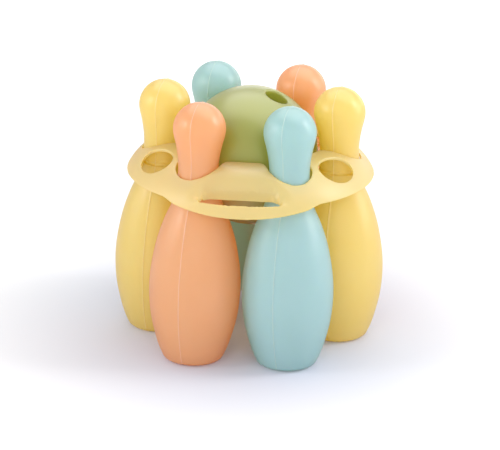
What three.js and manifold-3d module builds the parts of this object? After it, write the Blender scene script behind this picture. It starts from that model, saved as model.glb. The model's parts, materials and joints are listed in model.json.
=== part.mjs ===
// A toy bowling set standing in its carrier: six skittles in a ring, a ball in the middle and a
// domed carrier that holds the skittles by their necks. Millimetres, +Z up, origin on the floor
// at the middle of the ring, with one carrier handle at -Y and the other at +Y.

import * as THREE from 'three';
import { mergeVertices } from 'three/addons/utils/BufferGeometryUtils.js';
import Module from 'manifold-3d';

const wasm = await Module();
wasm.setup();

// Skittle sizes
const pinCount = 6;
const pinHeight = 263;
const pinWall = 2;
const footRadius = 30.4;        // outside of the base, above its rounded edge
const footEdgeRadius = 27;      // where the standing ring ends
const footRecessRadius = 19;    // inside of the standing ring
const footRecessDepth = 3;
const bellyRadius = 45.2;
const shoulderRadius = 31.9;
const neckRadius = 19.8;
const headRadius = 25.8;
const grooveDepth = 1.9;        // thin groove round the neck, above the shoulder
const grooveWidth = 4;
const blowHoleRadius = 2.5;

// Outer side of a skittle from the base up. Each row is a share of the radius that the table is
// named for and a share of the skittle's height.
const footHeightShare = 0.0079;
const bellyHeightShare = 0.2471;
const bodySideShares = [
  [0.761, 0.0455], [0.852, 0.0949], [0.954, 0.171], [1, bellyHeightShare],
  [0.997, 0.3233], [0.942, 0.3994], [0.85, 0.4755],
];
const shoulderHeightShare = 0.5516;
const lowerNeckShares = [[1.283, 0.608], [1.126, 0.6525]];
const grooveHeightShare = 0.6806;
const grooveFootShare = 1.075;
const grooveTopShare = 1.02;
const upperNeckShares = [[1, 0.7414], [1.04, 0.8027]];
const headSideShares = [
  [0.884, 0.844], [0.977, 0.882], [1, 0.907], [0.942, 0.935], [0.766, 0.965], [0.5, 0.987],
  [0.24, 0.997],
];

// Inner side of its shell, from the top down, in shares of the same radii before the wall.
const headHollowShares = [[0.66, 0.962], [1, 0.908]];
const neckHollowShare = [1.04, 0.8027];
const grooveHollowShares = [0.7316, 0.6564];
const shoulderHollowShare = 0.5437;
const bodyHollowShares = [[1, 0.3262], [1, bellyHeightShare], [0.761, 0.0494]];

// Ball sizes
const ballRadius = 67.5;
const ballWall = 2.4;
const recessRadius = 11.5;
const recessMouthRadius = 14;
const recessMouthDepth = 4;
const recessDepth = 22;
const recessFloorRound = 3;
const fingerFloorGap = 0.5;     // between the walls of the two finger recesses at their floors
const thumbFloorGap = 3.5;      // from those to the wall of the thumb recess

// Gaps between the pieces
const seatGap = 0.3;            // pieces that rest on one another
const bellyGap = 2.2;           // between neighbouring skittles at their bellies
const ballNeckGap = 1.9;        // between the ball and each neck

// Carrier sizes
const shellWall = 3;
const domeArcRadius = 54;       // section of the dome, a circular arc
const crestInset = 12.7;        // from the ring of necks in to the crest of the dome
const crestRise = 12.5;         // from the middle of the ball up to the crest
const rimDrop = 30.2;           // from the crest down to the rim
const tabBallGap = 3.8;         // from the ball's widest circle to the straight inner edges
const notchRadius = 22;
const notchMouthHalfWidth = 20.3;
const tabCornerFillet = 5;
const sideHoleLength = 45;
const sideHoleWidth = 28;
const sideHoleReach = 26.5;     // from the crest out to the middles of the side holes
const sideHoleAngle = THREE.MathUtils.degToRad(31);
const openingReach = 27.5;      // from the crest out to the finger slots

// Finger slots and the grip bars outside them
const slotEdgeHalfWidth = 28;   // straight stretch of a slot's inner edge
const slotHalfWidth = 40.5;
const slotWallDrop = 18;        // depth of the wall that hangs from a slot's inner edge
// Side of a slot from its inner edge out: shares of the flare beyond the edge and of the depth.
const slotSideShares = [[0.3, 0], [0.5, 0.18], [0.88, 0.43], [1.2, 0.63]];
const slotArcEndShare = 0.6;
const gripInset = 1.8;          // from the rim circle in to the outer edge of a slot
const gripPadInset = 2.8;
const gripHalfWidth = 78;
const gripDrop = 9.5;           // from the rim down to the underside of a bar
const gripPadHalfWidth = 70;
// Underside of a bar from its middle out: shares of the grip's half width and of its drop.
const gripUndersideShares = [
  [0.18, 1], [0.4, 0.885], [0.6, 0.72], [0.8, 0.5], [0.9, 0.26], [0.95, 0.08], [1, 0],
];

// Seats under the dome and the cup under the ball
const seatHeightShare = 0.6515;  // lowest edge of the seats, as a share of the skittle's height
const seatWall = 3;
const seatHalfAngle = THREE.MathUtils.degToRad(24);
const cupWall = 3;              // at its rim
const cupFloorWall = 5.4;       // at its lowest point
const cupRimDrop = 31;          // from the middle of the ball down to its rim
const armHalfWidth = 15;
const armTopWall = 4;
const armTopOverlap = 8;
const armTopDrop = 1.4;         // from the top of the dome's inner edge down to the arms' ends

const overrun = 5;              // how far every cutting solid runs past what it cuts
const pinSides = 20;
const ballSides = 28;
const ballRows = 14;
const ringSides = 48;
const arcSteps = 6;
const curveSteps = 5;
const holeSteps = 20;

const fullTurn = Math.PI * 2;
const quarterTurn = Math.PI / 2;
const pinStep = fullTurn / pinCount;

// Where the pieces stand. Six skittles on a circle are one circle radius apart, so the bellies
// set the circle low down and the ball sets it at the necks: the skittles lean in a little.
const ballCentreShare = 0.73008;
const ballCentreHeight = ballCentreShare * pinHeight;
const bellyHeight = bellyHeightShare * pinHeight;
const ringAtBelly = 2 * bellyRadius + bellyGap;
const ringAtNeck = ballRadius + neckRadius + ballNeckGap;
const leanSlope = (ringAtBelly - ringAtNeck) / (ballCentreHeight - bellyHeight);
const pinLean = Math.atan(leanSlope);
const ringAtFloor = ringAtBelly + bellyHeight * leanSlope;
const pinLift = footEdgeRadius * Math.sin(Math.abs(pinLean));
const ringAt = (height) => ringAtFloor - height * leanSlope;

// Main levels and circles of the carrier
const crestRadius = ringAtNeck - crestInset;
const crestHeight = ballCentreHeight + crestRise;
const domeCentreHeight = crestHeight - domeArcRadius;
const rimHeight = crestHeight - rimDrop;
const gripHeight = rimHeight - gripDrop;
const tabReach = ballRadius + tabBallGap;
const notchReach = ringAt(crestHeight);
const seatHeight = seatHeightShare * pinHeight;
const domeRadiusAt = (height, arcRadius) => {
  const rise = height - domeCentreHeight;
  return crestRadius + Math.sqrt(arcRadius * arcRadius - rise * rise);
};
const rimRadius = domeRadiusAt(rimHeight, domeArcRadius);
const gripRadius = rimRadius - gripInset;

// Turns a closed geometry into a solid that can be joined and cut.
function solidOf(geometry) {
  const bare = geometry.index ? geometry.toNonIndexed() : geometry.clone();
  bare.deleteAttribute('normal');
  bare.deleteAttribute('uv');
  const merged = mergeVertices(bare);
  const index = merged.index.array;
  const corners = [];
  for (let i = 0; i < index.length; i += 3) {
    const [a, b, c] = [index[i], index[i + 1], index[i + 2]];
    if (a !== b && b !== c && c !== a) corners.push(a, b, c);
  }
  return new wasm.Manifold(new wasm.Mesh({
    numProp: 3,
    vertProperties: new Float32Array(merged.attributes.position.array),
    triVerts: new Uint32Array(corners),
  }));
}

function geometryOf(solid) {
  const mesh = solid.getMesh();
  const geometry = new THREE.BufferGeometry();
  geometry.setAttribute('position', new THREE.BufferAttribute(mesh.vertProperties, 3));
  geometry.setIndex(new THREE.BufferAttribute(mesh.triVerts, 1));
  geometry.computeVertexNormals();
  return geometry;
}

// Spins a [radius, height] outline about the Z axis. The outline runs up its outer side.
function spun(outline, sides) {
  const points = outline.map(([radius, height]) => new THREE.Vector2(radius, height));
  return solidOf(new THREE.LatheGeometry(points, sides).rotateX(quarterTurn));
}

// Raises a plan outline from one height to another.
function raised(shape, low, high, curveSegments = curveSteps) {
  const settings = { depth: high - low, bevelEnabled: false, curveSegments };
  return solidOf(new THREE.ExtrudeGeometry(shape, settings).translate(0, 0, low));
}

function block(low, high) {
  const size = high.map((value, i) => value - low[i]);
  const middle = high.map((value, i) => (value + low[i]) / 2);
  return solidOf(new THREE.BoxGeometry(...size).translate(...middle));
}

const degrees = THREE.MathUtils.radToDeg;
const turned = (solid, angle) => solid.rotate([0, 0, degrees(angle)]);
const frontAndBack = (solid) => solid.add(turned(solid, Math.PI));

// Skittles

const rowsOf = (shares, radius) => shares.map(([side, up]) => [side * radius, up * pinHeight]);

// Outer side of a skittle from the standing ring up to the top of its head, with its groove.
function pinSide(depth) {
  const grooveHeight = grooveHeightShare * pinHeight;
  const grooveFoot = grooveFootShare * neckRadius;
  const grooveTop = grooveTopShare * neckRadius;
  return [
    [footEdgeRadius, 0],
    [footRadius, footHeightShare * pinHeight],
    ...rowsOf(bodySideShares, bellyRadius),
    [shoulderRadius, shoulderHeightShare * pinHeight],
    ...rowsOf(lowerNeckShares, neckRadius),
    [grooveFoot, grooveHeight - grooveWidth / 2],
    [grooveFoot - depth, grooveHeight - grooveWidth / 3],
    [grooveTop - depth, grooveHeight + grooveWidth / 3],
    [grooveTop, grooveHeight + grooveWidth / 2],
    ...rowsOf(upperNeckShares, neckRadius),
    ...rowsOf(headSideShares, headRadius),
  ];
}

// Inner side of the skittle's thin shell, from the top down to its floor.
function pinHollow() {
  const grooved = neckRadius - grooveDepth;
  const rows = [
    ...rowsOf(headHollowShares, headRadius),
    ...rowsOf([neckHollowShare], neckRadius),
    ...grooveHollowShares.map((share) => [grooved, share * pinHeight]),
    [shoulderRadius, shoulderHollowShare * pinHeight],
    ...rowsOf(bodyHollowShares, bellyRadius),
  ];
  return rows.map(([radius, height]) => [radius - pinWall, height]);
}

function pinSolid() {
  const floorTop = footRecessDepth + pinWall;
  const outline = [
    [0, pinHeight - pinWall],
    ...pinHollow(),
    [footRecessRadius, floorTop],
    [blowHoleRadius, floorTop],
    [blowHoleRadius, footRecessDepth],
    [footRecessRadius - footRecessDepth, footRecessDepth],
    [footRecessRadius, 0],
    ...pinSide(grooveDepth),
    [0, pinHeight],
  ];
  return spun(outline, pinSides);
}

// A solid skittle, grown by the seating gap and with no groove, so that the seats that it clears
// let the real one drop.
function pinClearance() {
  const side = pinSide(0).map(([radius, height]) => [radius + seatGap, height]);
  return spun([[0, 0], ...side, [0, pinHeight + seatGap]], pinSides);
}

// Ball

function sphereSolid(radius) {
  const outline = [];
  for (let i = 0; i <= ballRows; i++) {
    const angle = (i / ballRows) * Math.PI;
    const onAxis = i === 0 || i === ballRows;
    outline.push([onAxis ? 0 : radius * Math.sin(angle), -radius * Math.cos(angle)]);
  }
  return spun(outline, ballSides);
}

// A finger recess along +Z from the ball's middle, grown by a wall and cut off at a height.
function recessSolid(grow, top) {
  const floor = ballRadius - recessDepth - grow;
  const mouthStart = ballRadius - recessMouthDepth;
  const outline = [
    [0, floor],
    [recessRadius - recessFloorRound + grow, floor],
    [recessRadius + grow, floor + recessFloorRound],
    [recessRadius + grow, mouthStart],
    [recessMouthRadius + grow, ballRadius],
    [recessMouthRadius + grow, top],
    [0, top],
  ];
  return spun(outline, ballSides / 2);
}

function blowHole() {
  const floor = ballRadius - recessDepth;
  const outline = [
    [0, floor - ballWall - overrun],
    [blowHoleRadius, floor - ballWall - overrun],
    [blowHoleRadius, floor + overrun],
    [0, floor + overrun],
  ];
  return spun(outline, ballSides / 4);
}

// The thumb recess is up and to the right. The two finger recesses lie behind it, as close to it
// and to each other as their walls allow at the floors.
const thumbTilt = 23;
const thumbBearing = -13.3;
const fingerHeading = 99.4;

function recessPlaces() {
  const floorRadius = ballRadius - recessDepth - ballWall;
  const angleFor = (gap) => 2 * Math.asin((recessRadius + ballWall + gap / 2) / floorRadius);
  const spread = angleFor(fingerFloorGap) / 2;
  const reach = Math.acos(Math.cos(angleFor(thumbFloorGap)) / Math.cos(spread));
  const finger = (side) => [side * degrees(spread), degrees(reach), fingerHeading];
  return [[0, 0, 0], finger(-1), finger(1)];
}

function ballSolid() {
  const top = ballRadius + overrun;
  let hollow = sphereSolid(ballRadius - ballWall);
  let cuts = blowHole().rotate([0, thumbTilt, thumbBearing]);
  for (const turns of recessPlaces()) {
    const place = (solid) => solid.rotate(turns).rotate([0, thumbTilt, thumbBearing]);
    hollow = hollow.subtract(place(recessSolid(ballWall, top)));
    cuts = cuts.add(place(recessSolid(0, top)));
  }
  return sphereSolid(ballRadius).subtract(hollow).subtract(cuts);
}

// Carrier

// Points on the dome's section from one height down the outside to another.
function domeArc(arcRadius, fromAngle, toAngle) {
  const points = [];
  for (let i = 0; i <= arcSteps; i++) {
    const angle = fromAngle + ((toAngle - fromAngle) * i) / arcSteps;
    points.push([
      crestRadius + arcRadius * Math.cos(angle),
      domeCentreHeight + arcRadius * Math.sin(angle),
    ]);
  }
  return points;
}

const domeAngleAt = (height, arcRadius) => Math.asin((height - domeCentreHeight) / arcRadius);

// The thin dome as a full ring, from inside the tabs down to the level of the grips' undersides.
function domeRing() {
  const innerReach = tabReach - overrun;
  const innerAngle = (arcRadius) => Math.acos((innerReach - crestRadius) / arcRadius);
  const outerArc = domeArc(domeArcRadius, domeAngleAt(gripHeight, domeArcRadius),
    innerAngle(domeArcRadius));
  const innerRadius = domeArcRadius - shellWall;
  const innerArc = domeArc(innerRadius, innerAngle(innerRadius),
    domeAngleAt(gripHeight, innerRadius));
  return spun([...outerArc, ...innerArc, outerArc[0]], ringSides);
}

// Everything under the middle of the dome's wall, down to a level, which trims what hangs there.
function underDome(level) {
  const midRadius = domeArcRadius - shellWall / 2;
  const arc = domeArc(midRadius, domeAngleAt(gripHeight, midRadius), quarterTurn);
  return spun([[crestRadius, level], [arc[0][0], level], ...arc, [crestRadius, level]], ringSides);
}

// The thicker grip bars behind the lower edge, at the front and the back.
function gripPads() {
  const faceRadius = rimRadius - gripPadInset;
  const midRadius = domeArcRadius - shellWall / 2;
  const topAngle = Math.acos((faceRadius - crestRadius) / midRadius);
  const faceArcRadius = domeArcRadius - shellWall / 4;
  const arc = domeArc(faceArcRadius, domeAngleAt(gripHeight, faceArcRadius), topAngle);
  const ring = spun([[faceRadius, gripHeight], ...arc, [faceRadius, gripHeight]], ringSides);
  const reach = rimRadius + gripDrop + overrun;
  const low = [-gripPadHalfWidth, -reach, gripHeight - overrun];
  const high = [gripPadHalfWidth, reach, crestHeight];
  return ring.intersect(block(low, high));
}

// Plan outline of a finger slot, outward along +Y, grown by a wall.
function slotShape(grow, outer) {
  const inner = crestRadius + openingReach - grow;
  const edge = slotEdgeHalfWidth + grow / 2;
  const flare = slotHalfWidth + grow - edge;
  const depth = outer - inner;
  const side = slotSideShares.map(([out, up]) => [edge + out * flare, inner + up * depth]);
  const [bend, foot, tip, shoulder] = side;
  const arcEnd = Math.asin((edge + slotArcEndShare * flare) / outer);
  const shape = new THREE.Shape();
  shape.moveTo(-edge, inner);
  shape.lineTo(edge, inner);
  shape.quadraticCurveTo(...bend, ...foot);
  shape.lineTo(...tip);
  shape.quadraticCurveTo(...shoulder, outer * Math.sin(arcEnd), outer * Math.cos(arcEnd));
  shape.absarc(0, 0, outer, quarterTurn - arcEnd, quarterTurn + arcEnd, false);
  shape.quadraticCurveTo(-shoulder[0], shoulder[1], -tip[0], tip[1]);
  shape.lineTo(-foot[0], foot[1]);
  shape.quadraticCurveTo(-bend[0], bend[1], -edge, inner);
  return shape;
}

// The wall that hangs under the dome round each finger slot.
function slotWalls() {
  const midRadius = domeArcRadius - shellWall / 2;
  const edgeRise = Math.sqrt(domeArcRadius * domeArcRadius - openingReach * openingReach);
  const level = domeCentreHeight + edgeRise - shellWall - slotWallDrop;
  const wall = raised(slotShape(shellWall, domeRadiusAt(rimHeight, midRadius)), level, crestHeight);
  return frontAndBack(wall).intersect(underDome(level - overrun));
}

// The six-armed opening in the middle: straight tab edges with a U notch between each two.
function middleOpening() {
  const shape = new THREE.Shape();
  const tabAngle = pinStep / 2;
  const wallSlope = (notchRadius - notchMouthHalfWidth) / (notchReach - tabReach);
  // Where the wall of the notch at +X meets the straight edge of the next tab.
  const wallAt = (x) => notchRadius - (notchReach - x) * wallSlope;
  const cornerX = (tabReach - wallAt(tabReach) * Math.sin(tabAngle)) / Math.cos(tabAngle);
  const corner = new THREE.Vector2(cornerX, wallAt(cornerX));
  const wallStart = new THREE.Vector2(cornerX + tabCornerFillet, wallAt(cornerX + tabCornerFillet));
  const alongTab = new THREE.Vector2(-Math.sin(tabAngle), Math.cos(tabAngle));
  const tabStart = corner.clone().addScaledVector(alongTab, tabCornerFillet);
  const mirror = (point) => new THREE.Vector2(point.x, -point.y);
  const centre = new THREE.Vector2();
  for (let i = 0; i < pinCount; i++) {
    const angle = i * pinStep;
    const at = (point) => point.clone().rotateAround(centre, angle);
    const [tabIn, cornerIn, wallIn] = [tabStart, corner, wallStart].map((p) => at(mirror(p)));
    const [wallOut, cornerOut, tabOut] = [wallStart, corner, tabStart].map(at);
    const middle = at(new THREE.Vector2(notchReach, 0));
    if (i === 0) shape.moveTo(tabIn.x, tabIn.y);
    else shape.lineTo(tabIn.x, tabIn.y);
    shape.quadraticCurveTo(cornerIn.x, cornerIn.y, wallIn.x, wallIn.y);
    shape.absarc(middle.x, middle.y, notchRadius, angle - quarterTurn, angle + quarterTurn, false);
    shape.lineTo(wallOut.x, wallOut.y);
    shape.quadraticCurveTo(cornerOut.x, cornerOut.y, tabOut.x, tabOut.y);
  }
  shape.closePath();
  return raised(shape, rimHeight - overrun, crestHeight + overrun, holeSteps / 2);
}

function sideHoles() {
  const shape = new THREE.Shape();
  const reach = crestRadius + sideHoleReach;
  shape.absellipse(reach, 0, sideHoleWidth / 2, sideHoleLength / 2, 0, fullTurn, false, 0);
  const hole = raised(shape, gripHeight, crestHeight + overrun, holeSteps);
  const sides = turned(hole, sideHoleAngle).add(turned(hole, -sideHoleAngle));
  return frontAndBack(sides);
}

// Trims the lower edge: level at the rim, stepping down below the two grip bars.
function lowerEdgeTrim() {
  const reach = rimRadius + gripDrop + overrun;
  const shape = new THREE.Shape();
  const low = gripHeight - overrun;
  shape.moveTo(-reach, low);
  shape.lineTo(reach, low);
  shape.lineTo(reach, rimHeight);
  const edge = gripUndersideShares.map(([out, drop]) => {
    return [out * gripHalfWidth, rimHeight - drop * gripDrop];
  });
  [...edge].reverse().forEach(([x, height]) => shape.lineTo(x, height));
  edge.forEach(([x, height]) => shape.lineTo(-x, height));
  shape.lineTo(-reach, rimHeight);
  shape.closePath();
  const settings = { depth: 2 * reach, bevelEnabled: false };
  const solid = new THREE.ExtrudeGeometry(shape, settings).rotateX(quarterTurn);
  return solidOf(solid.translate(0, reach, 0));
}

// A short curved wall outside each neck that sits on the skittle's shoulder.
function seats() {
  const outer = notchRadius + seatWall + seatGap;
  const shape = new THREE.Shape();
  const middle = ringAt(seatHeight);
  shape.absarc(middle, 0, outer, -seatHalfAngle, seatHalfAngle, false);
  shape.absarc(middle, 0, neckRadius, seatHalfAngle, -seatHalfAngle, true);
  const seat = raised(shape, seatHeight, crestHeight).intersect(underDome(gripHeight));
  let all = seat;
  for (let i = 1; i < pinCount; i++) all = all.add(turned(seat, i * pinStep));
  return all;
}

// The cup that carries the ball, and the two arms that hang it from the front and back tabs.
function cradle() {
  const atBall = (solid) => solid.translate([0, 0, ballCentreHeight]);
  const inner = ballRadius + seatGap;
  const outer = inner + cupWall;
  const deep = inner + cupFloorWall;
  // The cup's outside is a sphere through its lowest point and through the edge of its rim.
  const outsideDrop = (deep * deep - outer * outer) / (2 * (deep - cupRimDrop));
  const outside = sphereSolid(deep - outsideDrop).translate([0, 0, -outsideDrop]);
  const reach = deep + overrun;
  const belowRim = block([-reach, -reach, -reach], [reach, reach, -cupRimDrop]);
  const cup = outside.intersect(belowRim);
  const strip = block([-armHalfWidth, -reach, -reach], [armHalfWidth, reach, 0]);
  const arms = sphereSolid(outer).intersect(strip);
  const topStart = inner + seatGap;
  const armTop = block([-armHalfWidth, topStart, -armTopOverlap],
    [armHalfWidth, topStart + armTopWall, crestRise - armTopDrop]);
  return atBall(cup.add(arms).add(frontAndBack(armTop)).subtract(sphereSolid(inner)));
}

function carrierSolid() {
  const slot = raised(slotShape(0, gripRadius), gripHeight - overrun, crestHeight + overrun);
  let carrier = domeRing().add(gripPads()).add(slotWalls()).subtract(frontAndBack(slot));
  carrier = carrier.subtract(middleOpening()).subtract(sideHoles()).subtract(lowerEdgeTrim());
  carrier = carrier.add(seats()).add(cradle());
  const gap = pinClearance().rotate([0, -degrees(pinLean), 0]).translate([ringAtFloor, 0, pinLift]);
  for (let i = 0; i < pinCount; i++) carrier = carrier.subtract(turned(gap, i * pinStep));
  return carrier;
}

// Assembly

function plastic(colour, roughness) {
  return new THREE.MeshStandardMaterial({ color: colour, roughness, metalness: 0 });
}

function named(solid, name, material) {
  const mesh = new THREE.Mesh(geometryOf(solid), material);
  mesh.name = name;
  return mesh;
}

const yellow = '#f2d98a';
const peach = '#f0b489';
const aqua = '#b0d3d1';

// One skittle at every sixth of the circle, starting at +X and going round anticlockwise.
const pins = [
  ['pin_right', yellow],
  ['pin_back_right', peach],
  ['pin_back_left', aqua],
  ['pin_left', yellow],
  ['pin_front_left', peach],
  ['pin_front_right', aqua],
];

const set = new THREE.Group();
set.add(named(carrierSolid(), 'carrier', plastic('#f0dc9c', 0.45)));

const ball = named(ballSolid(), 'ball', plastic('#d3dbae', 0.4));
ball.position.z = ballCentreHeight;
set.add(ball);

pins.forEach(([name, colour], i) => {
  const place = new THREE.Group();
  place.rotation.z = i * pinStep;
  const pin = named(pinSolid(), name, plastic(colour, 0.4));
  pin.position.set(ringAtFloor, 0, pinLift);
  pin.rotation.y = -pinLean;
  place.add(pin);
  set.add(place);
});

export default set;
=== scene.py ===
# Looks of a pastel toy bowling set in its carrier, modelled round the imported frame.
# The pieces' sizes are millimetres and become metres where a mesh is made. Angles in the
# dictionaries are degrees, and the studio's and the camera's places are metres.
import json
import math

import bmesh
import bpy
from mathutils import Matrix, Vector


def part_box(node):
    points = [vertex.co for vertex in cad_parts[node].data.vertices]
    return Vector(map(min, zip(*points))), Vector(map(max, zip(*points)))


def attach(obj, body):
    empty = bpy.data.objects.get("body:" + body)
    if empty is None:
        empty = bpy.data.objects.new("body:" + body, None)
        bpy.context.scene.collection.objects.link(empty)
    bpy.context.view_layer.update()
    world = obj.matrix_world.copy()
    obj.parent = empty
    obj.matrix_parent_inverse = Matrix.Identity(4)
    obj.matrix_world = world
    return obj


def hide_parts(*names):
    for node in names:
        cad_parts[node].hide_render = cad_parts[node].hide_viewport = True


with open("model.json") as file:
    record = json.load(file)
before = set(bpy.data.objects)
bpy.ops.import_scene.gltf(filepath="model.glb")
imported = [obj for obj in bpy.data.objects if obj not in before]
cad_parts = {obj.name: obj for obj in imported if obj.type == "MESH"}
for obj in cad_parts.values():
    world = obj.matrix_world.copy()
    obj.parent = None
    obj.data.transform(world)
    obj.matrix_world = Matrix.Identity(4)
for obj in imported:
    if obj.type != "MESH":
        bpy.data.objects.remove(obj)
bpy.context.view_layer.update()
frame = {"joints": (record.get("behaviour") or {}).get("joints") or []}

mm = 0.001
fullTurn = 2 * math.pi
quarterTurn = math.pi / 2
weldWithin = 0.001 * mm  # corners closer together than this become one
onPlaneWithin = 0.01 * mm  # corners this near a plane count as lying on it
smoothSteps = 5  # steps from one point to the next on a smooth curve
skittleCount = 6

ballLow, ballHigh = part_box("ball")
ballCentreUp = (ballLow.z + ballHigh.z) / 2 / mm
ballRadius = (ballHigh.x - ballLow.x) / 2 / mm
hangAxis = {joint["child"]: Vector(joint["axis"]) for joint in frame["joints"]}


# Working on a piece

def workOn(piece, mode="OBJECT"):  # only this piece selected, in the mode that is asked for
    bpy.ops.object.select_all(action="DESELECT")
    piece.select_set(True)
    bpy.context.view_layer.objects.active = piece
    bpy.ops.object.mode_set(mode=mode)
    if mode == "EDIT":
        bpy.ops.mesh.select_all(action="DESELECT")


def choose(piece, kind, test):  # in edit mode, selects corners, edges or faces by a test
    bpy.ops.mesh.select_mode(type=kind)
    mesh = bmesh.from_edit_mesh(piece.data)
    parts = {"VERT": mesh.verts, "EDGE": mesh.edges, "FACE": mesh.faces}[kind]
    for part in parts:
        part.select_set(test(part))
    mesh.select_flush_mode()
    bmesh.update_edit_mesh(piece.data)


def finishWith(piece, kind, **settings):  # adds one modifier, sets it and applies it
    workOn(piece)
    bpy.ops.object.modifier_add(type=kind)
    modifier = piece.modifiers[-1]
    for setting, value in settings.items():
        setattr(modifier, setting, value)
    bpy.ops.object.modifier_apply(modifier=modifier.name)


def cutWith(piece, cutters, operation="DIFFERENCE"):
    for cutter in cutters:
        finishWith(piece, "BOOLEAN", operation=operation, object=cutter, solver="EXACT")
        bpy.data.objects.remove(cutter)


def joinAll(name, pieces):
    workOn(pieces[0])
    for piece in pieces:
        piece.select_set(True)
    bpy.ops.object.join()
    pieces[0].name = name
    pieces[0].data.name = name
    return pieces[0]


def copied(piece, name, matrix):  # a copy with its own mesh, its place in that mesh
    workOn(piece)
    bpy.ops.object.duplicate(linked=False)
    copy = bpy.context.object
    copy.name = name
    copy.data.name = name
    copy.data.transform(matrix)
    return copy


# Outlines, as lists of flat points

def arcPoints(centreX, centreY, radius, start, end, steps):
    points = []
    for step in range(steps + 1):
        angle = start + (end - start) * step / steps
        points.append((centreX + radius * math.cos(angle), centreY + radius * math.sin(angle)))
    return points


def bendPoints(start, control, end, steps):  # a quadratic curve, without its two ends
    points = []
    for step in range(1, steps):
        t = step / steps
        points.append(tuple((1 - t) ** 2 * a + 2 * t * (1 - t) * b + t * t * c
                            for a, b, c in zip(start, control, end)))
    return points


def smoothPoints(points, steps):  # a smooth curve through all the points
    padded = [points[0]] + list(points) + [points[-1]]
    found = []
    for before, start, end, after in zip(padded, padded[1:], padded[2:], padded[3:]):
        for step in range(steps):
            t = step / steps
            found.append(tuple(
                0.5 * (2 * b + (c - a) * t + (2 * a - 5 * b + 4 * c - d) * t ** 2
                       + (3 * b - a - 3 * c + d) * t ** 3)
                for a, b, c, d in zip(before, start, end, after)))
    return found + [points[-1]]


def outlinePiece(name, corners):  # a ring of corners, each one moved to its place in space
    bpy.ops.object.select_all(action="DESELECT")
    bpy.ops.mesh.primitive_circle_add(vertices=len(corners), radius=mm)
    piece = bpy.context.object
    piece.name = name
    piece.data.name = name
    for vertex, corner in zip(piece.data.vertices, corners):
        vertex.co = Vector(corner) * mm
    return piece


def spunPiece(name, section, steps, onAxis, turn=fullTurn):  # spins a section about the Z axis
    piece = outlinePiece(name, [(radius, 0, height) for radius, height in section])
    workOn(piece, "EDIT")
    if onAxis:  # the edge that closes the ring lies along the axis and isn't spun
        choose(piece, "EDGE", lambda edge: {v.index for v in edge.verts} == {0, len(section) - 1})
        bpy.ops.mesh.delete(type="EDGE")
    bpy.ops.mesh.select_all(action="SELECT")
    bpy.ops.mesh.spin(steps=steps, angle=turn, center=(0, 0, 0), axis=(0, 0, 1))
    bpy.ops.mesh.select_all(action="SELECT")
    bpy.ops.mesh.remove_doubles(threshold=weldWithin)
    if turn < fullTurn:
        bpy.ops.mesh.select_all(action="DESELECT")
        bpy.ops.mesh.select_mode(type="EDGE")
        bpy.ops.mesh.select_non_manifold()
        bpy.ops.mesh.edge_face_add()
        bpy.ops.mesh.select_all(action="SELECT")
    bpy.ops.mesh.normals_make_consistent(inside=False)
    bpy.ops.object.mode_set(mode="OBJECT")
    return piece


def raisedPiece(name, outline, low, high):  # a plan outline filled and pulled up
    piece = outlinePiece(name, [(x, y, low) for x, y in outline])
    workOn(piece, "EDIT")
    bpy.ops.mesh.select_all(action="SELECT")
    bpy.ops.mesh.edge_face_add()
    bpy.ops.mesh.extrude_region_move(TRANSFORM_OT_translate={"value": (0, 0, (high - low) * mm)})
    bpy.ops.mesh.select_all(action="SELECT")
    bpy.ops.mesh.normals_make_consistent(inside=False)
    bpy.ops.object.mode_set(mode="OBJECT")
    return piece


# Skittle, one blow-moulded shell shape used six times

skittle = {
    "height": 263,
    "ringAtFloor": 94.34,  # from the middle of the set to each skittle's foot
    "lift": 0.7225,  # the leaning foot stands on its inner edge
    "steps": 96,
    "footRecess": (16, 3.0),  # inner radius and depth of the hollow under the foot
    "blowHole": (2.4, 5.0),  # radius and depth of the closed hole in that hollow
    "blowHoleEdge": 0.4,  # chamfer round it
    "foot": [(19.0, 0.0), (25.6, 0.0), (28.2, 0.7), (30.0, 2.2)],
    "body": [(31.2, 4.6), (34.4, 12), (38.5, 25), (43.1, 45), (45.2, 65), (45.1, 85), (42.6, 105),
             (38.4, 125), (31.9, 145), (25.4, 160), (22.5, 170), (21.25, 176.6)],
    "groove": [(21.2, 177.0), (20.7, 177.5), (19.7, 177.8), (19.4, 178.3), (19.3, 180.0), (19.5, 180.5),
               (20.2, 180.8), (20.6, 181.3)],
    "neck": [(20.45, 182), (19.9, 192), (19.8, 202), (20.9, 212), (22.8, 222), (24.85, 230),
             (25.72, 235.2)],
    "headRadius": 25.8,
    "headSteps": 28,
    "sharpFrom": 50,  # edges that turn more than this stay sharp
    "partingBearing": -104,  # one side of the line where the mould's halves met faces the front
    "partingWidth": 0.5,
    "partingHeight": 0.42,
    "partingEnd": 3.5,  # the line stops this far from the skittle's axis
    "crownFrom": 0.9,  # share of the height above which every edge on the line is an outer one
}


def makeSkittleShape(size):
    recessRadius, recessDepth = size["footRecess"]
    holeRadius, holeDepth = size["blowHole"]
    edge = size["blowHoleEdge"]
    section = [(0, recessDepth + holeDepth), (holeRadius, recessDepth + holeDepth),
               (holeRadius, recessDepth + edge), (holeRadius + edge, recessDepth),
               (recessRadius, recessDepth)]
    section += size["foot"] + smoothPoints(size["body"], smoothSteps) + size["groove"]
    section += smoothPoints(size["neck"], smoothSteps) + headPoints(size)
    piece = spunPiece("skittleShape", section, size["steps"], onAxis=True)
    addPartingRidge(piece, size)
    workOn(piece)
    bpy.ops.object.shade_smooth_by_angle(angle=math.radians(size["sharpFrom"]))
    return piece


def headPoints(size):  # a round head, from its widest level to its top
    radius = size["headRadius"]
    centreUp = size["height"] - radius
    return arcPoints(0, centreUp, radius, 0, quarterTurn, size["headSteps"])[:-1] + [(0, size["height"])]


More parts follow.
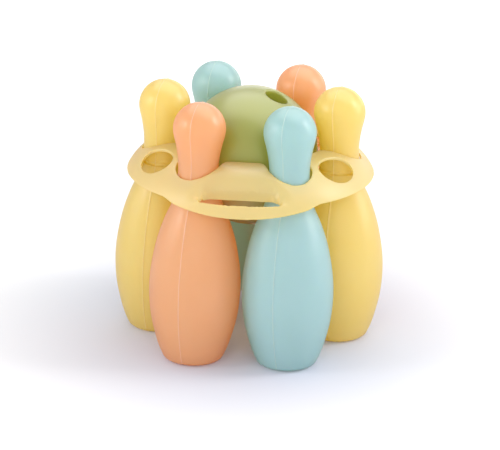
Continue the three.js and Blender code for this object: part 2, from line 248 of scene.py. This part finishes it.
def addPartingRidge(piece, size):  # a fine raised line up both sides and over the head
    nearPole = size["partingEnd"] * mm
    foot = size["foot"][-1][1] * mm
    crown = size["crownFrom"] * size["height"] * mm

    def onSeam(vertex):
        place = vertex.co
        return abs(place.y) < onPlaneWithin and abs(place.x) > nearPole and place.z > foot

    def outside(edge):
        facingOut = all(v.normal.x * v.co.x > 0 for v in edge.verts)
        return all(onSeam(v) for v in edge.verts) and (facingOut or edge.verts[0].co.z > crown)

    workOn(piece, "EDIT")
    choose(piece, "EDGE", outside)
    bpy.ops.mesh.bevel(offset=size["partingWidth"] * mm, segments=2, affect="EDGES")
    choose(piece, "VERT", onSeam)
    bpy.ops.transform.shrink_fatten(value=size["partingHeight"] * mm)
    bpy.ops.object.mode_set(mode="OBJECT")
    crest = piece.data.attributes.new("parting", "FLOAT", "POINT")  # where the parting ridge gets its painted highlight
    for vertex, value in zip(piece.data.vertices, crest.data):
        value.value = onSeam(vertex)


def placeSkittles(shape, size, bearings):
    made = {}
    for node, bearing in bearings.items():
        axis = hangAxis[node]
        around = Matrix.Rotation(math.radians(size["partingBearing"]), 4, "Z")
        lean = Vector((0, 0, 1)).rotation_difference(axis).to_matrix().to_4x4()
        angle = math.radians(bearing)
        foot = Vector((math.cos(angle), math.sin(angle), 0)) * size["ringAtFloor"] * mm
        foot.z = size["lift"] * mm
        piece = copied(shape, node.replace("pin", "skittle"), Matrix.Translation(foot) @ lean @ around)
        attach(piece, node)
        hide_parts(node)
        made[node] = piece
    bpy.data.objects.remove(shape)
    return made


# Ball

ball = {
    "rows": 96,
    "steps": 144,
    "sharpFrom": 40,
    "recessRadius": 11.5,
    "recessDepth": 22,
    "recessWallShares": (0.3, 0.6, 0.9),  # where its straight wall has corners, from floor to mouth
    "mouthRound": 2.5,
    "mouthSteps": 8,
    "floorRound": 3.0,
    "floorSteps": 6,
    "cutterFlare": 1.3,  # how much wider than the mouth a recess's cutter is above the ball
    "blowHole": (2.2, 4.0),
    "wall": 2.4,
    "fingerFloorGap": 0.5,  # between the walls of the two finger recesses, deep down
    "thumbFloorGap": 3.5,
    "thumbTurns": (0, 23, -13.3),  # about X, then Y, then Z
    "fingerHeading": 99.4,
}


def recessSection(size):  # from the middle of the floor out to where the mouth meets the ball
    inner, rounding, mouth = size["recessRadius"], size["floorRound"], size["mouthRound"]
    floor = ballRadius - size["recessDepth"]
    reach = inner + mouth
    mouthUp = math.sqrt((ballRadius - mouth) ** 2 - reach ** 2)
    mouthEnd = math.atan2(mouthUp, reach)
    section = arcPoints(inner - rounding, floor + rounding, rounding, -quarterTurn, 0, size["floorSteps"])
    section += [(inner, floor + (mouthUp - floor) * share) for share in size["recessWallShares"]]
    section += arcPoints(reach, mouthUp, mouth, math.pi, mouthEnd, size["mouthSteps"])
    return section


def turnedBy(turns):  # turns about X, then Y, then Z, in degrees
    about = [Matrix.Rotation(math.radians(turn), 4, axis) for turn, axis in zip(turns, "XYZ")]
    return about[2] @ about[1] @ about[0]


def makeBall(size):
    holeRadius, holeDepth = size["blowHole"]
    floor = ballRadius - size["recessDepth"]
    mouth = recessSection(size)
    start = math.atan2(mouth[-1][1], mouth[-1][0])
    skin = arcPoints(0, 0, ballRadius, start, -quarterTurn, size["rows"])[1:-1]
    section = [(0, floor - holeDepth), (holeRadius, floor - holeDepth), (holeRadius, floor)]
    section += mouth + skin + [(0, -ballRadius)]
    piece = spunPiece("ballShell", section, size["steps"], onAxis=True)
    cutRadius = size["recessRadius"] + size["wall"]
    deep = floor - size["wall"]
    spread = math.asin((cutRadius + size["fingerFloorGap"] / 2) / deep)
    thumbAngle = 2 * math.asin((cutRadius + size["thumbFloorGap"] / 2) / deep)
    reach = math.acos(math.cos(thumbAngle) / math.cos(spread))
    top = ballRadius + size["mouthRound"]
    cut = [(0, floor)] + mouth + [(mouth[-1][0] * size["cutterFlare"], top), (0, top)]
    cutters = []
    for side in (-1, 1):
        cutter = spunPiece("fingerCutter", cut, size["steps"] // 2, onAxis=True)
        turns = (side * math.degrees(spread), math.degrees(reach), size["fingerHeading"])
        cutter.data.transform(turnedBy(turns))
        cutters.append(cutter)
    cutWith(piece, cutters)
    piece.data.transform(Matrix.Translation((0, 0, ballCentreUp * mm)) @ turnedBy(size["thumbTurns"]))
    workOn(piece)
    bpy.ops.object.shade_smooth_by_angle(angle=math.radians(size["sharpFrom"]))
    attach(piece, "ball")
    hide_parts("ball")
    return piece


# Carrier, one injection-moulded dome with holes, grips, seats and the cup under the ball

carrier = {
    "domeRadius": 54,
    "crestOut": 76.5,
    "crestUp": 204.5,
    "wall": 3.0,
    "rimUp": 174.3,
    "tabReach": 71.3,
    "tabSpare": 4,  # the dome starts this much nearer the axis and is cut back to the tabs
    "tabRound": 5,
    "tabSteps": 8,
    "notchOut": 88.85,
    "notchRadius": 22,
    "notchSteps": 36,
    "mouthHalf": 20.3,
    "sideHole": (103, 14, 22.5),  # middle, half width outwards, half length round the dome
    "sideHoleBearings": (31, 149, 211, 329),
    "sideHoleSteps": 72,
    "slotInner": 104,
    "slotEdgeHalf": 28,
    "slotHalf": 40.5,
    "slotOuter": 123.2,
    "slotSide": [(0.3, 0), (0.5, 0.18), (0.88, 0.43), (1.2, 0.63)],  # shares of flare and of depth
    "slotArcEnd": 0.6,
    "slotSteps": (6, 10, 28, 48),  # round the bend, the shoulder, the outer arc and the inner edge
    "slotWallUp": 175.4,
    "slotWallShort": 6,  # the inner wall ends this far from the slot's outer arc
    "slotArcMargin": 1.5,  # points nearer the outer arc than this aren't rounded over
    "slotLip": 13,  # how far the dome rounds over into a slot's inner wall
    "lipNotchRoom": 10,  # the rounding grows to its full depth this far from a notch
    "lipFade": (5, 13),  # and fades between these distances past the slot's inner edge
    "padInner": 122.2,
    "padHalf": 70,
    "padInset": 0.6,  # a pad's face lies this far under the dome's
    "padSteps": (12, 40),  # up its face and round the dome
    "gripDrop": 9.5,
    "gripHalf": 78,
    "gripUnderside": [(0, 1), (0.2, 0.97), (0.4, 0.885), (0.6, 0.72), (0.76, 0.54), (0.85, 0.39),
                      (0.93, 0.14), (1, 0)],
    "seatUp": 171.4,
    "seatOut": 89.7,
    "seatInner": 21.2,
    "seatOuter": 25.3,
    "seatHalfAngle": 24,
    "seatSlope": 0.35,  # rise for each millimetre inwards, as on a skittle's shoulder
    "seatSteps": 16,
    "cupInner": 67.8,
    "cupWall": 3.0,
    "cupFloorWall": 5.4,
    "cupRimDrop": 31,  # from the ball's middle down to the cup's rim
    "cupSteps": (40, 96),  # up its section and round it
    "armHalf": 15,
    "armTopUp": 202.8,
    "armTopShift": 1.5,  # outwards, up to the tabs
    "armSteps": (10, 64),  # across half an arm, and from the front to the back
    "cutterSpare": 8,  # how far a cutter reaches below and above the dome
    "cutterReach": 150,
    "domeSteps": 360,
    "arcSteps": 64,
    "voxel": 0.55,
    "softening": 12,  # rounds of smoothing that melt the joined forms into one moulding
    "softenBy": 0.5,
    "mostTriangles": 190000,
}


def domeUp(out, radius):  # height of the dome's section at a distance from the axis
    centreUp = carrier["crestUp"] - carrier["domeRadius"]
    return centreUp + math.sqrt(max(0, radius ** 2 - (out - carrier["crestOut"]) ** 2))


def domeArc(radius, lowest, innermost, steps):
    centreUp = carrier["crestUp"] - carrier["domeRadius"]
    start = math.asin((lowest - centreUp) / radius)
    end = math.acos((innermost - carrier["crestOut"]) / radius)
    return arcPoints(carrier["crestOut"], centreUp, radius, start, end, steps)


def makeDome(size):
    lowest = size["rimUp"] - size["gripDrop"]
    inside = size["tabReach"] - size["tabSpare"]
    outer = domeArc(size["domeRadius"], lowest, inside, size["arcSteps"])
    inner = domeArc(size["domeRadius"] - size["wall"], lowest, inside, size["arcSteps"])
    dome = spunPiece("dome", outer + inner[::-1], size["domeSteps"], onAxis=False)
    roundIntoSlots(dome, size)
    return dome


def eased(value, low, high):
    share = min(1, max(0, (value - low) / (high - low)))
    return share * share * (3 - 2 * share)


def roundIntoSlots(dome, size):  # the dome rolls down into the inner wall of each finger slot
    lip = size["slotLip"]
    around = 2 * lip  # farther from the slot than this nothing moves
    fadeStart, fadeEnd = [size["slotInner"] + past for past in size["lipFade"]]
    edge = [Vector(point) for point in slotOutline(size)]
    edge = [point for point in edge if point.length < size["slotOuter"] - size["slotArcMargin"]]
    toNotch = Vector((0, 1)) * size["notchOut"]
    halfStep = fullTurn / (2 * skittleCount)
    notches = [Matrix.Rotation(side * halfStep, 2) @ toNotch for side in (-1, 1)]
    middleUp = size["crestUp"] - size["domeRadius"]
    for vertex in dome.data.vertices:
        place = Vector((vertex.co.x, abs(vertex.co.y))) / mm
        if place.y < size["slotInner"] - around or abs(place.x) > size["slotHalf"] + around:
            continue
        gap = min((place - point).length for point in edge)
        inside = place.y > size["slotInner"] and insideOutline(place, edge)
        gap = 0 if inside else min(gap, lip)
        room = min((place - notch).length for notch in notches) - size["notchRadius"]
        fade = eased(room, 0, size["lipNotchRoom"]) * (1 - eased(place.y, fadeStart, fadeEnd))
        sink = lip * (1 - math.sqrt(1 - (1 - gap / lip) ** 2)) * fade
        rise = math.hypot(place.length - size["crestOut"], vertex.co.z / mm - middleUp)
        onOutside = rise > size["domeRadius"] - size["wall"] / 2
        onWall = gap < size["wall"] and place.y < size["slotOuter"] - size["slotWallShort"]
        if onWall and not onOutside:
            vertex.co.z = min(vertex.co.z, size["slotWallUp"] * mm)
        else:
            vertex.co.z -= sink * mm


def insideOutline(place, outline):  # counts the outline's sides beyond a flat point
    inside = False
    for start, end in zip(outline, outline[1:] + outline[:1]):
        if (start.y > place.y) != (end.y > place.y):
            across = start.x + (place.y - start.y) * (end.x - start.x) / (end.y - start.y)
            inside ^= place.x < across
    return inside


def makeGripPads(size):
    lowest = size["rimUp"] - size["gripDrop"]
    faceSteps, turnSteps = size["padSteps"]
    face = domeArc(size["domeRadius"] - size["padInset"], lowest, size["padInner"], faceSteps)
    section = face + [(size["padInner"], lowest)]
    half = math.asin(size["padHalf"] / (size["padInner"] + size["wall"]))
    pads = []
    for middle in (-quarterTurn, quarterTurn):
        pad = spunPiece("gripPad", section, turnSteps, onAxis=False, turn=2 * half)
        pad.data.transform(Matrix.Rotation(middle - half, 4, "Z"))
        pads.append(pad)
    return pads


def slotOutline(size):  # plan of a finger slot, outwards along +Y
    inner, outer, edge = size["slotInner"], size["slotOuter"], size["slotEdgeHalf"]
    bendSteps, shoulderSteps, arcSteps, edgeSteps = size["slotSteps"]
    flare = size["slotHalf"] - edge
    side = [(edge + out * flare, inner + up * (outer - inner)) for out, up in size["slotSide"]]
    bend, foot, tip, shoulder = side
    arcEnd = math.asin((edge + size["slotArcEnd"] * flare) / outer)
    end = (outer * math.sin(arcEnd), outer * math.cos(arcEnd))
    right = [(edge, inner)] + bendPoints((edge, inner), bend, foot, bendSteps) + [foot, tip]
    right += bendPoints(tip, shoulder, end, shoulderSteps)
    arc = arcPoints(0, 0, outer, quarterTurn - arcEnd, quarterTurn + arcEnd, arcSteps)
    left = [(-x, y) for x, y in reversed(right)]
    straight = [(edge * (2 * step / edgeSteps - 1), inner) for step in range(1, edgeSteps)]
    return right + arc + left + straight


def openingOutline(size):  # straight tab edges with a U notch between each two
    step = fullTurn / skittleCount
    slope = (size["notchRadius"] - size["mouthHalf"]) / (size["notchOut"] - size["tabReach"])

    def wallAt(x):
        return size["notchRadius"] - (size["notchOut"] - x) * slope

    cornerX = (size["tabReach"] - wallAt(size["tabReach"]) * math.sin(step / 2)) / math.cos(step / 2)
    corner = Vector((cornerX, wallAt(cornerX)))
    wallStart = Vector((cornerX + size["tabRound"], wallAt(cornerX + size["tabRound"])))
    tabStart = corner + Vector((-math.sin(step / 2), math.cos(step / 2))) * size["tabRound"]
    rounding = bendPoints(wallStart, corner, tabStart, size["tabSteps"])
    upper = [wallStart] + [Vector(p) for p in rounding] + [tabStart]
    lower = [Vector((p.x, -p.y)) for p in reversed(upper)]
    notch = arcPoints(size["notchOut"], 0, size["notchRadius"], -quarterTurn, quarterTurn,
                      size["notchSteps"])
    one = lower + [Vector(p) for p in notch] + upper
    outline = []
    for index in range(skittleCount):
        turn = Matrix.Rotation(index * step, 2)
        outline += [tuple(turn @ point) for point in one]
    return outline


def makeCutters(size):
    low = size["rimUp"] - size["gripDrop"] - size["cutterSpare"]
    high = size["crestUp"] + size["cutterSpare"]
    cutters = [raisedPiece("middleCutter", openingOutline(size), low, high)]
    middle, halfOut, halfRound = size["sideHole"]
    for bearing in size["sideHoleBearings"]:
        bpy.ops.object.select_all(action="DESELECT")
        bpy.ops.mesh.primitive_cylinder_add(vertices=size["sideHoleSteps"], radius=mm,
                                            depth=(high - low) * mm)
        hole = bpy.context.object
        workOn(hole, "EDIT")
        bpy.ops.mesh.select_all(action="SELECT")
        bpy.ops.transform.resize(value=(halfOut, halfRound, 1))
        bpy.ops.transform.translate(value=(middle * mm, 0, (low + high) / 2 * mm))
        bpy.ops.object.mode_set(mode="OBJECT")
        hole.data.transform(Matrix.Rotation(math.radians(bearing), 4, "Z"))
        cutters.append(hole)
    for turn in (0, math.pi):
        slot = raisedPiece("slotCutter", slotOutline(size), low, high)
        slot.data.transform(Matrix.Rotation(turn, 4, "Z"))
        cutters.append(slot)
    return cutters + [makeLowerEdgeCutter(size, low)]


def makeLowerEdgeCutter(size, low):  # everything below the rim and below the two grips
    reach = size["cutterReach"]
    edge = [(out * size["gripHalf"], size["rimUp"] - drop * size["gripDrop"])
            for out, drop in size["gripUnderside"]]
    right = smoothPoints(edge, smoothSteps)
    outline = [(x, up) for x, up in reversed(right)] + [(-x, up) for x, up in right[1:]]
    outline = [(reach, size["rimUp"])] + outline + [(-reach, size["rimUp"]), (-reach, low), (reach, low)]
    piece = raisedPiece("lowerEdgeCutter", outline, -reach, reach)
    piece.data.transform(Matrix.Rotation(quarterTurn, 4, "X"))
    return piece


def makeSeats(size):  # short curved walls that sit on the skittles' shoulders
    half = math.radians(size["seatHalfAngle"])
    outline = arcPoints(size["seatOut"], 0, size["seatOuter"], -half, half, size["seatSteps"])
    outline += arcPoints(size["seatOut"], 0, size["seatInner"], half, -half, size["seatSteps"])
    middleUp = (size["seatUp"] + size["crestUp"]) / 2 * mm
    middleOfWall = size["domeRadius"] - size["wall"] / 2
    seats = []
    for index in range(skittleCount):
        seat = raisedPiece("seat", outline, size["seatUp"], size["crestUp"])
        for vertex in seat.data.vertices:
            if vertex.co.z > middleUp:  # the top follows the dome, the foot a skittle's shoulder
                vertex.co.z = domeUp(vertex.co.xy.length / mm, middleOfWall) * mm
            else:
                outward = math.hypot(vertex.co.x / mm - size["seatOut"], vertex.co.y / mm)
                vertex.co.z += (size["seatOuter"] - outward) * size["seatSlope"] * mm
        seat.data.transform(Matrix.Rotation(index * fullTurn / skittleCount, 4, "Z"))
        seats.append(seat)
    return seats


def makeCup(size):  # smooth, thickest under the middle of the ball
    inner, rimDrop = size["cupInner"], size["cupRimDrop"]
    outer, deep = inner + size["cupWall"], inner + size["cupFloorWall"]
    drop = (deep ** 2 - outer ** 2) / (2 * (deep - rimDrop))
    outsideRadius = deep - drop
    rimAngle = -math.asin((rimDrop - drop) / outsideRadius)
    sectionSteps, turnSteps = size["cupSteps"]
    section = arcPoints(0, -drop, outsideRadius, -quarterTurn, rimAngle, sectionSteps)
    section += arcPoints(0, 0, inner, -math.asin(rimDrop / inner), -quarterTurn, sectionSteps)
    cup = spunPiece("cup", section, turnSteps, onAxis=True)
    cup.data.transform(Matrix.Translation((0, 0, ballCentreUp * mm)))
    return cup


def makeArms(size):  # a smooth band round the underside of the ball, up to the front and back tabs
    inner, half = size["cupInner"], size["armHalf"]
    outer = inner + size["cupWall"]
    acrossSteps, turnSteps = size["armSteps"]
    widths = [half * step / acrossSteps for step in range(-acrossSteps, acrossSteps + 1)]
    ring = [(x, -math.sqrt(inner ** 2 - x ** 2)) for x in widths]
    ring += [(x, -math.sqrt(outer ** 2 - x ** 2)) for x in reversed(widths)]
    band = outlinePiece("arms", [(x, y, 0) for x, y in ring])
    workOn(band, "EDIT")
    bpy.ops.mesh.select_all(action="SELECT")
    bpy.ops.mesh.spin(steps=turnSteps, angle=-math.pi, center=(0, 0, 0), axis=(1, 0, 0))
    rise = size["armTopUp"] - ballCentreUp
    for end in (-1, 1):
        choose(band, "VERT", lambda v: abs(v.co.z) < onPlaneWithin and v.co.y * end > 0)
        bpy.ops.mesh.select_mode(type="EDGE")
        move = (0, end * size["armTopShift"] * mm, rise * mm)
        bpy.ops.mesh.extrude_region_move(TRANSFORM_OT_translate={"value": move})
        bpy.ops.mesh.edge_face_add()
    bpy.ops.mesh.select_all(action="SELECT")
    bpy.ops.mesh.normals_make_consistent(inside=False)
    bpy.ops.object.mode_set(mode="OBJECT")
    band.data.transform(Matrix.Translation((0, 0, ballCentreUp * mm)))
    return band


def makeCarrier(size):
    dome = makeDome(size)
    cutWith(dome, makeGripPads(size), "UNION")
    cutWith(dome, makeCutters(size))
    print("carrier cut")
    piece = joinAll("carrierMoulding", [dome] + makeSeats(size) + [makeCup(size), makeArms(size)])
    finishWith(piece, "REMESH", mode="VOXEL", voxel_size=size["voxel"] * mm, adaptivity=0)
    finishWith(piece, "SMOOTH", factor=size["softenBy"], iterations=size["softening"])
    print("carrier softened,", len(piece.data.vertices), "corners")
    triangles = 2 * len(piece.data.polygons)  # the remeshed faces all have four corners
    finishWith(piece, "DECIMATE", ratio=min(1, size["mostTriangles"] / triangles))
    workOn(piece)
    bpy.ops.object.shade_smooth()
    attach(piece, "carrier")
    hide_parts("carrier")
    return piece


# Materials

def toLinear(hexColour):
    values = [int(hexColour[i:i + 2], 16) / 255 for i in (1, 3, 5)]
    return tuple(v / 12.92 if v <= 0.04045 else ((v + 0.055) / 1.055) ** 2.4 for v in values) + (1,)


def addNode(tree, kind, settings=None, links=None):  # one node, its settings and what feeds it
    node = tree.nodes.new(kind)
    for name, value in (settings or {}).items():
        if name in node.inputs:
            node.inputs[name].default_value = value
        else:
            setattr(node, name, value)
    for name, source in (links or {}).items():
        tree.links.new(source, node.inputs[name])
    return node


def mixColours(tree, share, first, second):  # each colour is a hex value or another node's output
    shareInput, colourInputs, colourOutput = 0, (6, 7), 2  # the mix node has others for plain numbers
    node = addNode(tree, "ShaderNodeMix", {"data_type": "RGBA"}, {shareInput: share})
    for socket, colour in zip(colourInputs, (first, second)):
        if isinstance(colour, str):
            node.inputs[socket].default_value = toLinear(colour)
        else:
            tree.links.new(colour, node.inputs[socket])
    return node.outputs[colourOutput]


plastics = {
    # Polyethylene, blow moulded: soft broad highlights and a faint orange-peel skin. About half the
    # light that enters the thin wall leaves it on the far side, deeper in colour, so crevices glow.
    # Each skittle's palest colour is a painted highlight on the parting ridge, where the thin fin catches
    # the light.
    "skittleYellow": {
        "slot": "skittle_yellow", "colour": "#ECDD92", "deep": "#E8D47E", "ridgeHighlight": "#F8EEC4",
        "inner": "#FAE024", "through": 0.47, "rough": 0.31, "coat": 0.6},
    "skittlePeach": {
        "slot": "skittle_peach", "colour": "#ECC092", "deep": "#E8B886", "ridgeHighlight": "#FCE6D2",
        "inner": "#FAB850", "through": 0.47, "rough": 0.31, "coat": 0.6},
    "skittleAqua": {
        "slot": "skittle_aqua", "colour": "#B8DCE8", "deep": "#B0D6E0", "ridgeHighlight": "#E2F2F4",
        "inner": "#B8D2BA", "through": 0.47, "rough": 0.31, "coat": 0.6},
    # The same plastic in a heavier, glossier shell.
    "ballGreen": {
        "slot": "ball_green", "colour": "#AEB458", "deep": "#A6AC4C",
        "inner": "#C8C62C", "through": 0.4, "rough": 0.34, "coat": 1.0},
    # Polypropylene, injection moulded: a touch more matt, with the same soft sheen and glow.
    "carrierYellow": {
        "slot": "carrier_yellow", "colour": "#E6DEA8", "deep": "#E2D69C",
        "inner": "#FAE028", "through": 0.5, "rough": 0.38, "coat": 0.6},
}

mouldedSkin = {
    "cloud": 30,  # from one paler patch to the next
    "peel": 2.6,  # from one shallow bump of the orange-peel skin to the next
    "peelHeight": 0.05,
    "grain": 0.8,  # and the same for the fine grain on it
    "grainHeight": 0.02,
    "bumpStrength": 0.12,
    "roughSpread": 0.04,
    "refraction": 1.5,
    "scatter": 0.1,
    "scatterColour": (1.0, 0.6, 0.3),  # warm light travels farthest inside
    "scatterDepth": 4,
    "coatRough": 0.36,  # the milky sheen of a moulded skin
    "coatRefraction": 1.6,
}


def makePlastic(name, recipe, finish):
    material = bpy.data.materials.new(name)
    material.use_nodes = True
    tree = material.node_tree
    tree.nodes.clear()
    place = addNode(tree, "ShaderNodeTexCoord").outputs["Object"]

    def noise(spacing, detail):
        return addNode(tree, "ShaderNodeTexNoise", {"Scale": 1 / (spacing * mm), "Detail": detail},
                       {"Vector": place}).outputs["Fac"]

    cloud, peel, grain = noise(finish["cloud"], 2), noise(finish["peel"], 1), noise(finish["grain"], 2)
    colour = mixColours(tree, cloud, recipe["colour"], recipe["deep"])
    if "ridgeHighlight" in recipe:  # painted highlight, paler along the parting ridge
        crest = addNode(tree, "ShaderNodeAttribute", {"attribute_name": "parting"}).outputs["Fac"]
        colour = mixColours(tree, crest, colour, recipe["ridgeHighlight"])
    peelBump = addNode(tree, "ShaderNodeBump",
                       {"Strength": finish["bumpStrength"], "Distance": finish["peelHeight"] * mm},
                       {"Height": peel})
    grainBump = addNode(tree, "ShaderNodeBump",
                        {"Strength": finish["bumpStrength"], "Distance": finish["grainHeight"] * mm},
                        {"Height": grain, "Normal": peelBump.outputs["Normal"]})
    rough = addNode(tree, "ShaderNodeMapRange",
                    {"To Min": recipe["rough"] - finish["roughSpread"],
                     "To Max": recipe["rough"] + finish["roughSpread"]},
                    {"Value": peel})
    skin = addNode(tree, "ShaderNodeBsdfPrincipled",
                   {"IOR": finish["refraction"],
                    "Subsurface Weight": finish["scatter"],
                    "Subsurface Radius": finish["scatterColour"],
                    "Subsurface Scale": finish["scatterDepth"] * mm,
                    "Coat Weight": recipe["coat"],
                    "Coat Roughness": finish["coatRough"],
                    "Coat IOR": finish["coatRefraction"]},
                   {"Base Color": colour, "Roughness": rough.outputs["Result"],
                    "Normal": grainBump.outputs["Normal"]})
    wall = addNode(tree, "ShaderNodeBsdfTranslucent", {"Color": toLinear(recipe["inner"])})
    both = addNode(tree, "ShaderNodeMixShader", {"Fac": recipe["through"]},
                   {1: skin.outputs["BSDF"], 2: wall.outputs["BSDF"]})
    addNode(tree, "ShaderNodeOutputMaterial", {}, {"Surface": both.outputs["Shader"]})
    return material


def dress(piece, material):
    piece.data.materials.clear()
    piece.data.materials.append(material)


# Floor, light and camera

studio = {
    "floorHalf": 4.0,
    "floorShadowColour": "#C8CAD8",  # round the set, a painted soft shadow in cool grey
    "floorUnshadedColour": "#F2F2F4",  # farther out, where the painted shadow has faded
    "floorShadowFade": (0.12, 0.31),  # distances over which the painted shadow fades into the paler floor
    "floorLift": 0.06,  # what the camera alone sees added to the floor
    "liftBlend": (0.7, 1.6),  # between these it grows until the floor is white
    "worldStrength": 0.78,
    "aim": (0, 0, 0.13),
    "lamps": [
        # name, place, width and height, power
        ("boxLeft", (-1.45, -0.75, 0.85), (0.40, 0.46), 5),
        ("boxRight", (1.42, 0.05, 1.15), (0.44, 0.50), 8),
        ("topBack", (0.2, 1.1, 1.7), (1.6, 1.0), 1),
        ("frontFill", (0.0, -2.2, 0.9), (2.0, 1.2), 22),
        ("backPanel", (0.9, 2.6, 0.7), (3.6, 1.2), 19),
        ("rightPanel", (2.2, 0.3, 0.8), (1.4, 1.2), 17),
        ("leftPanel", (-2.2, -0.3, 0.8), (1.4, 1.2), 9),
        ("overheadCard", (0.1, 0.3, 1.3), (2.0, 1.4), 25),
    ],
    "unmirrored": "frontFill",  # lights the fronts without a glare on them
    "mirroredOnly": "overheadCard",  # a card that shows as the pale sheen on surfaces that face up
}

view = {
    "lens": 146.584,
    "place": (0.16656, -1.94853, 0.82553),
    "target": (0.00055, 0.00123, 0.1129),
    "roll": 1.2885,
    "sensorWidth": 36,
    "clipEnd": 50,
}


def makeFloor(size):
    bpy.ops.object.select_all(action="DESELECT")
    bpy.ops.mesh.primitive_plane_add(size=2 * size["floorHalf"])
    floor = bpy.context.object
    floor.name = "studioFloor"
    material = bpy.data.materials.new("mattFloorPaintedShadow")
    material.use_nodes = True
    tree = material.node_tree
    tree.nodes.clear()
    path = addNode(tree, "ShaderNodeLightPath")
    place = addNode(tree, "ShaderNodeTexCoord").outputs["Object"]
    away = addNode(tree, "ShaderNodeVectorMath", {"operation": "LENGTH"}, {0: place})
    # The floor is painted darker round the set, a soft shadow that fades with distance from the middle.
    shadowNear, shadowFar = size["floorShadowFade"]
    share = addNode(tree, "ShaderNodeMapRange", {"From Min": shadowNear, "From Max": shadowFar},
                    {"Value": away.outputs["Value"]})
    paintedShadowPaper = mixColours(tree, share.outputs["Result"], size["floorShadowColour"], size["floorUnshadedColour"])
    matt = addNode(tree, "ShaderNodeBsdfDiffuse", {}, {"Color": paintedShadowPaper})
    liftNear, liftFar = size["liftBlend"]
    paler = addNode(tree, "ShaderNodeMapRange",
                    {"From Min": liftNear, "From Max": liftFar,
                     "To Min": size["floorLift"], "To Max": 1.0},
                    {"Value": away.outputs["Value"]})
    strength = addNode(tree, "ShaderNodeMath", {"operation": "MULTIPLY"},
                       {0: path.outputs["Is Camera Ray"], 1: paler.outputs["Result"]})
    lift = addNode(tree, "ShaderNodeEmission", {"Color": (1, 1, 1, 1)}, {"Strength": strength.outputs[0]})
    both = addNode(tree, "ShaderNodeAddShader", {}, {0: matt.outputs["BSDF"], 1: lift.outputs["Emission"]})
    addNode(tree, "ShaderNodeOutputMaterial", {}, {"Surface": both.outputs["Shader"]})
    floor.data.materials.append(material)


def makeWorld(size):
    world = bpy.data.worlds.new("studioWorld")
    bpy.context.scene.world = world
    world.use_nodes = True
    tree = world.node_tree
    tree.nodes.clear()
    path = addNode(tree, "ShaderNodeLightPath")
    seen = addNode(tree, "ShaderNodeMath", {"operation": "MAXIMUM"},
                   {0: path.outputs["Is Camera Ray"], 1: path.outputs["Is Transmission Ray"]})
    mirrored = addNode(tree, "ShaderNodeMath", {"operation": "MAXIMUM"},
                       {0: seen.outputs[0], 1: path.outputs["Is Glossy Ray"]})
    strength = addNode(tree, "ShaderNodeMapRange", {"To Min": size["worldStrength"], "To Max": 1.0},
                       {"Value": mirrored.outputs[0]})
    sky = addNode(tree, "ShaderNodeBackground", {"Color": (1, 1, 1, 1)},
                  {"Strength": strength.outputs["Result"]})
    addNode(tree, "ShaderNodeOutputWorld", {}, {"Surface": sky.outputs["Background"]})


def aimed(place, target, roll=0):  # the rotation that points a lamp or the camera at a target
    turn = (Vector(target) - Vector(place)).to_track_quat("-Z", "Y").to_matrix()
    return (turn @ Matrix.Rotation(math.radians(roll), 3, "Z")).to_euler()


def makeLamps(size):
    for name, place, (width, height), power in size["lamps"]:
        bpy.ops.object.light_add(type="AREA", location=place, rotation=aimed(place, size["aim"]))
        lamp = bpy.context.object
        lamp.name = name
        lamp.data.shape = "RECTANGLE"
        lamp.data.size = width
        lamp.data.size_y = height
        lamp.data.energy = power
        lamp.visible_glossy = name != size["unmirrored"]
        lamp.visible_diffuse = name != size["mirroredOnly"]


def makeCamera(size):
    rotation = aimed(size["place"], size["target"], size["roll"])
    bpy.ops.object.camera_add(location=size["place"], rotation=rotation)
    camera = bpy.context.object
    camera.name = "studioCamera"
    camera.data.lens = size["lens"]
    camera.data.sensor_width = size["sensorWidth"]
    camera.data.clip_end = size["clipEnd"]
    bpy.context.scene.camera = camera
    bpy.context.scene.view_settings.view_transform = "Standard"


# Making it all

bearings = {"pin_right": 0, "pin_back_right": 60, "pin_back_left": 120,
            "pin_left": 180, "pin_front_left": 240, "pin_front_right": 300}
colours = {"pin_right": "skittleYellow", "pin_back_right": "skittlePeach", "pin_back_left": "skittleAqua",
           "pin_left": "skittleYellow", "pin_front_left": "skittlePeach", "pin_front_right": "skittleAqua"}

made = {name: makePlastic(name, recipe, mouldedSkin) for name, recipe in plastics.items()}
print("plastics made")

for node, piece in placeSkittles(makeSkittleShape(skittle), skittle, bearings).items():
    dress(piece, made[colours[node]])
print("skittles made")

dress(makeBall(ball), made["ballGreen"])
print("ball made")

dress(makeCarrier(carrier), made["carrierYellow"])
print("carrier made")

makeFloor(studio)
makeWorld(studio)
makeLamps(studio)
makeCamera(view)
print("studio made")
